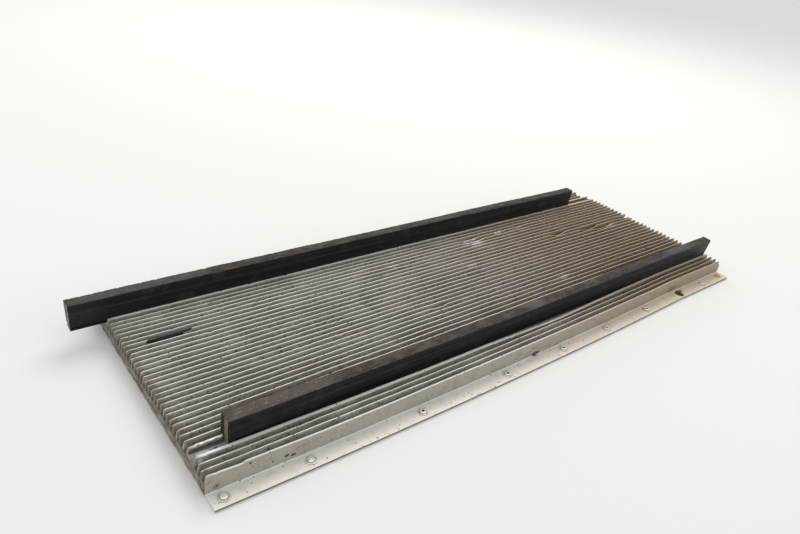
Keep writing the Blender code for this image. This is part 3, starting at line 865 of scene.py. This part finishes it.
def rubber_finish(label, end_front, end_back, scuffs):
    """Old black rubber: brown-grey bloom and scuffs on top, near-black sides with faint
    lengthwise lines, and matt sawn ends whose front and back parts differ in colour. Heights
    are those of the bar before it sags."""
    low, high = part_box(f"{label}_strip")
    made, shader, place = new_finish(f"{label}_rubber")
    shader.inputs["Specular IOR Level"].default_value = 0.28
    sawn = kept_number(place, "sawn")
    height = kept_number(place, "level")
    along = place.node("SeparateXYZ", None, {0: place})
    across = along.also("Y")
    cloud = noise(stretched(place, 30, 90, 90), 1.0, 6, 0.62)
    blotch = noise(place, 60, 6, 0.65)
    streak = noise(stretched(place, 7, 500, 500), 1.0, 5)
    fine = noise(place, 800, 4)
    crackle = noise(stretched(place, 180, 420, 420), 1.0, 6, 0.7)
    # Sides, with one faint line along their middle
    colour = streak.step(0.4, 0.7).over(paint(16, 14, 13), paint(38, 33, 28))
    colour = (blotch.step(0.5, 0.70) * 0.5).over(colour, paint(62, 53, 45))
    line = height - ((TOP + high.z) / 2 + 0.8 * MM)
    line = line.math("ABSOLUTE", line).step(0.0005, 0.00015) * cloud.step(0.3, 0.6)
    colour = (line * 0.4).over(colour, paint(98, 93, 88))
    # Top: bloom, then its paler rim, then the scuffed stretches
    top = (height + (cloud - 0.5) * 0.0006).step(high.z - 0.9 * MM, high.z - 0.3 * MM)
    grit = noise(stretched(place, 110, 230, 230), 1.0, 6, 0.68)
    bloom = cloud.step(0.40, 0.60).over(paint(40, 32, 28), paint(68, 57, 50))
    bloom = (grit.step(0.50, 0.60) * 0.5).over(bloom, paint(92, 79, 70))
    bloom = (grit.step(0.47, 0.38) * 0.65).over(bloom, paint(28, 23, 22))
    bloom = (blotch.step(0.54, 0.64) * 0.7).over(bloom, paint(34, 29, 27))
    rough_height = height + (fine - 0.5) * 0.0006
    rim = rough_height.step(high.z - 1.1 * MM, high.z - 0.6 * MM)
    rim = rim * rough_height.step(high.z - 0.05 * MM, high.z - 0.3 * MM)
    colour = (top * 0.95).over(colour, bloom)
    colour = (rim * crackle.step(0.4, 0.62) * 0.35).over(colour, paint(122, 113, 106))
    scratched = crackle.step(0.56, 0.68)
    for start, stop, share, shade in scuffs:
        zone = along.step(start - 0.01, start + 0.008) * along.step(stop + 0.012, stop - 0.008)
        colour = (zone * top * 0.6).over(colour, paint(*[v * 0.55 for v in shade]))
        colour = (zone * top * scratched * share).over(colour, paint(*shade))
    # Sawn ends
    darker = paint(*[v * 0.65 for v in end_front])
    end_colour = blotch.step(0.3, 0.7).over(paint(*end_front), darker)
    rear_part = (across + (fine - 0.5) * 0.002).step(low.y + 6.6 * MM, low.y + 8.2 * MM)
    end_colour = rear_part.over(end_colour, paint(*end_back))
    end_colour = (fine.step(0.5, 0.72) * 0.5).over(end_colour, paint(40, 35, 31))
    colour = sawn.over(colour, end_colour)
    rough = 0.52 + top * 0.2 + sawn * 0.3 + (cloud - 0.5) * 0.2
    bumps = cloud * 0.4 + fine * 0.4 + scratched * 0.4
    connect(shader, colour, rough, 0.0, bumps, strength=0.5, distance=0.4 * MM)
    return made


# Each strip: its side, how far its right end leans out at the top, how far it sags, its
# seed, the colours of its sawn ends' front and back parts, and its scuffs: from and to along
# X, strength and colour
for label, side, slant, sag, seed, end_front, end_back, scuffs in (
        ("front", -1, 6.0 * MM, 2.3 * MM, 31, (150, 133, 106), (44, 38, 34),
         ((-0.33, -0.24, 0.7, (158, 140, 134)), (0.0, 0.02, 0.5, (160, 150, 144)),
          (0.26, 0.31, 0.35, (150, 140, 132)))),
        ("rear", 1, 2.0 * MM, -0.7 * MM, 32, (122, 130, 118), (96, 104, 94),
         ((-0.38, -0.27, 0.4, (132, 126, 122)),))):
    bar = sawn_strip(label, side, slant, sag, seed)
    bar.data.materials.append(rubber_finish(label, end_front, end_back, scuffs))
    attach(bar, f"{label}_strip")
    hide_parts(f"{label}_strip")


# -------------------------------------------------------------------- blind rivets, stems
# Pulled aluminium blind rivets hold each flange. Every one has a wide flat rim and a raised
# crown; the steel stem snapped off in the crown, proud in some and sunk deep in others.

TURNS = 48                      # corners in each ring of a turned piece
OVAL = 0.008                    # how far out of round a rivet is, as a share of its radius
PROUD = {("front", 1), ("front", 2), ("rear", 5)}
STEM_PROUD = 0.35 * MM
STEM_SUNK = 0.9 * MM


def turned(name, middle, profile, closed, squash, **values):
    """Turns (radius, height) rows about an upright axis; profile runs bottom to top outside.
    A closed profile makes a ring with a bore; an open one starts and ends on the axis. The
    radius swells by the squash times a sine of twice the angle."""
    angle = np.arange(TURNS) * math.tau / TURNS
    radius, height = profile[:, 0], profile[:, 1]
    if not closed:
        radius, height = radius[1:-1], height[1:-1]
    swing = radius[:, None] * (1 + squash * np.sin(2 * angle + middle.x * 900))
    points = np.stack([middle.x + swing * np.cos(angle), middle.y + swing * np.sin(angle),
                       np.broadcast_to(height[:, None], swing.shape)], -1).reshape(-1, 3)
    count = len(radius)
    faces = grid_faces(count, TURNS).tolist()
    numbers = {key: np.repeat(v if closed else v[1:-1], TURNS) for key, v in values.items()}
    first, last = np.arange(TURNS), (count - 1) * TURNS + np.arange(TURNS)
    if closed:
        faces += np.stack([last, np.roll(last, -1), np.roll(first, -1), first], -1).tolist()
    else:
        points = np.concatenate([points, [(middle.x, middle.y, profile[0, 1]),
                                          (middle.x, middle.y, profile[-1, 1])]])
        low, high = len(points) - 2, len(points) - 1
        faces += np.stack([np.roll(first, -1), first, np.full(TURNS, low)], -1).tolist()
        faces += np.stack([last, np.roll(last, -1), np.full(TURNS, high)], -1).tolist()
        numbers = {key: np.concatenate([n, [values[key][0], values[key][-1]]])
                   for key, n in numbers.items()}
    return new_piece(name, points, faces, sharp=42, **numbers)


# Rivet body from the bore's bottom, up the shank and over the rim and crown, down the bore;
# each row is radius, height above the flange, and how much dirt and painted shade sits there
RIVET = np.array([
    (1.45, -1.6, 1.0), (2.20, -1.6, 1.0), (2.20, 0.02, 1.0), (4.55, 0.02, 1.0), (4.74, 0.14, 0.95),
    (4.75, 0.34, 0.5), (4.55, 0.50, 0.0), (4.20, 0.55, 0.0), (3.60, 0.50, 0.0), (3.15, 0.44, 0.3),
    (2.90, 0.46, 0.95), (2.74, 0.70, 0.6), (2.66, 1.05, 0.0), (2.42, 1.42, 0.0), (2.05, 1.66, 0.0),
    (1.75, 1.70, 0.0), (1.58, 1.60, 0.3), (1.47, 1.35, 0.8), (1.45, 0.60, 1.0)]) * (MM, MM, 1)
# Stem from its bottom to its broken top: radius, height, share of the way up
STEM = np.array([
    (0.0, -1.5, 0), (1.15, -1.5, 0), (1.35, -1.3, 0), (1.35, 0.60, 0.5), (1.30, 0.95, 0.9),
    (1.05, 1.22, 1.0), (0.55, 1.38, 1.0), (0.0, 1.42, 1.0)]) * (MM, MM, 1)
STEM_BREAK = 3                  # the first row that moves with the broken top


def rivet_finish():
    """Bright soft aluminium, dulled by oxide, with a painted highlight on the crown, and dark dirt
    and painted shade round the crown, under the rim's edge and in the bore.
    """
    made, shader, place = new_finish("rivet_metal")
    dirt = kept_number(place, "dirt")
    cloud = noise(place, 500, 5)
    fine = noise(place, 1600, 3)
    height = place.node("SeparateXYZ", None, {0: place}).also("Z")
    # Painted highlight: the crown is painted near white, paler than the rim
    crown = height.step(FLANGE_TOP + 0.55 * MM, FLANGE_TOP + 0.95 * MM)
    rim = cloud.step(0.35, 0.65).over(paint(186, 177, 164), paint(212, 205, 194))
    colour = crown.over(rim, cloud.step(0.3, 0.6).over(paint(224, 220, 213), paint(246, 244, 240)))
    # Dark dirt and painted shade: the crease round the crown, the underside of the rim's edge and
    # the bore
    grime_and_shade = (dirt + (cloud - 0.5) * 0.5).step(0.35, 0.9)
    colour = (grime_and_shade * 0.9).over(colour, paint(56, 47, 39))
    rough = 0.34 + grime_and_shade * 0.35 + (fine - 0.5) * 0.15
    metal = 0.45 - grime_and_shade * 0.4
    bumps = cloud * 0.6 + fine * 0.4
    connect(shader, colour, rough, metal, bumps, strength=0.4, distance=0.2 * MM)
    return made


def stem_finish():
    """Snapped steel wire: grey torn top, and painted shade in dark brown below it and all over a
    sunk stem, deep in the bore.
    """
    made, shader, place = new_finish("snapped_steel")
    top = kept_number(place, "top")
    cloud = noise(place, 900, 4)
    # Painted shade: dark brown below the pale top; a sunk stem has no pale top
    colour = (top * cloud.step(0.2, 0.5)).over(paint(44, 34, 28), paint(236, 234, 230))
    rough = 0.42 + (cloud - 0.5) * 0.3
    metal = 0.3 + top * 0.2
    connect(shader, colour, rough, metal, cloud, strength=0.5, distance=0.2 * MM)
    return made


rivet_metal = rivet_finish()
snapped_steel = stem_finish()
for (label, number), spot in rivet_spots.items():
    base = Vector((spot.x, spot.y, 0))
    body = RIVET + (0, FLANGE_TOP, 0)
    rivet = turned(f"rivet_{label}_{number}", base, body[:, :2], True, OVAL, dirt=body[:, 2])
    rivet.data.materials.append(rivet_metal)
    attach(rivet, "panel")
    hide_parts(f"{label}_rivet_{number}")
    proud = (label, number) in PROUD
    core = STEM + (0, FLANGE_TOP, 0)
    if proud:
        core[:, 1] += STEM_PROUD
    else:
        core[STEM_BREAK:, 1] -= STEM_SUNK
        # Painted shade: a sunk stem is painted dark brown all over, as shade deep in the bore
        core[STEM_BREAK:, 2] = 0
    stem = turned(f"stem_{label}_{number}", base, core[:, :2], False, 0.0, top=core[:, 2])
    stem.data.materials.append(snapped_steel)
    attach(stem, "panel")
    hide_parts(f"{label}_rivet_stem_{number}")


# ------------------------------------------------------------------- table, light, camera
# A plain pale table top under an even pale sky, and one large soft light above and behind.

TABLE_SIZE = 80.0
TABLE_DOWN = 0.6 * MM           # just clear of the panel's underside
bpy.ops.mesh.primitive_plane_add(size=TABLE_SIZE, location=(0, 0, -TABLE_DOWN))
table = bpy.context.object
table.name = "table_top"
pale, pale_shader, _ = new_finish("pale_table")
pale_shader.inputs["Base Color"].default_value = paint(228, 224, 219)
pale_shader.inputs["Roughness"].default_value = 0.9
pale_shader.inputs["Specular IOR Level"].default_value = 0.0
table.data.materials.append(pale)

world = bpy.data.worlds.new("soft_room")
bpy.context.scene.world = world
world.use_nodes = True
sky = world.node_tree.nodes["Background"]
sky.inputs["Color"].default_value = (0.90, 0.96, 1.0, 1.0)
sky.inputs["Strength"].default_value = 1.0

LAMP_PLACE = Vector((1.0, 1.3, 1.9))
lamp = bpy.data.lights.new("window", "AREA")
lamp.shape = "RECTANGLE"
lamp.size, lamp.size_y = 1.8, 1.2
lamp.energy = 26
lamp.color = (1.0, 0.94, 0.87)
window = bpy.data.objects.new("window", lamp)
bpy.context.scene.collection.objects.link(window)
window.location = LAMP_PLACE
window.rotation_euler = (-LAMP_PLACE).to_track_quat("-Z", "Y").to_euler()

lens = bpy.data.cameras.new("camera")
lens.sensor_width = 36.0
lens.lens = 29.31
lens.clip_start = 0.01
camera = bpy.data.objects.new("camera", lens)
bpy.context.scene.collection.objects.link(camera)
camera.location = (-0.48597, -0.42548, 0.37690)
camera.rotation_euler = [math.radians(v) for v in (60.678, -7.503, -38.037)]
bpy.context.scene.camera = camera
bpy.context.scene.view_settings.view_transform = "Standard"
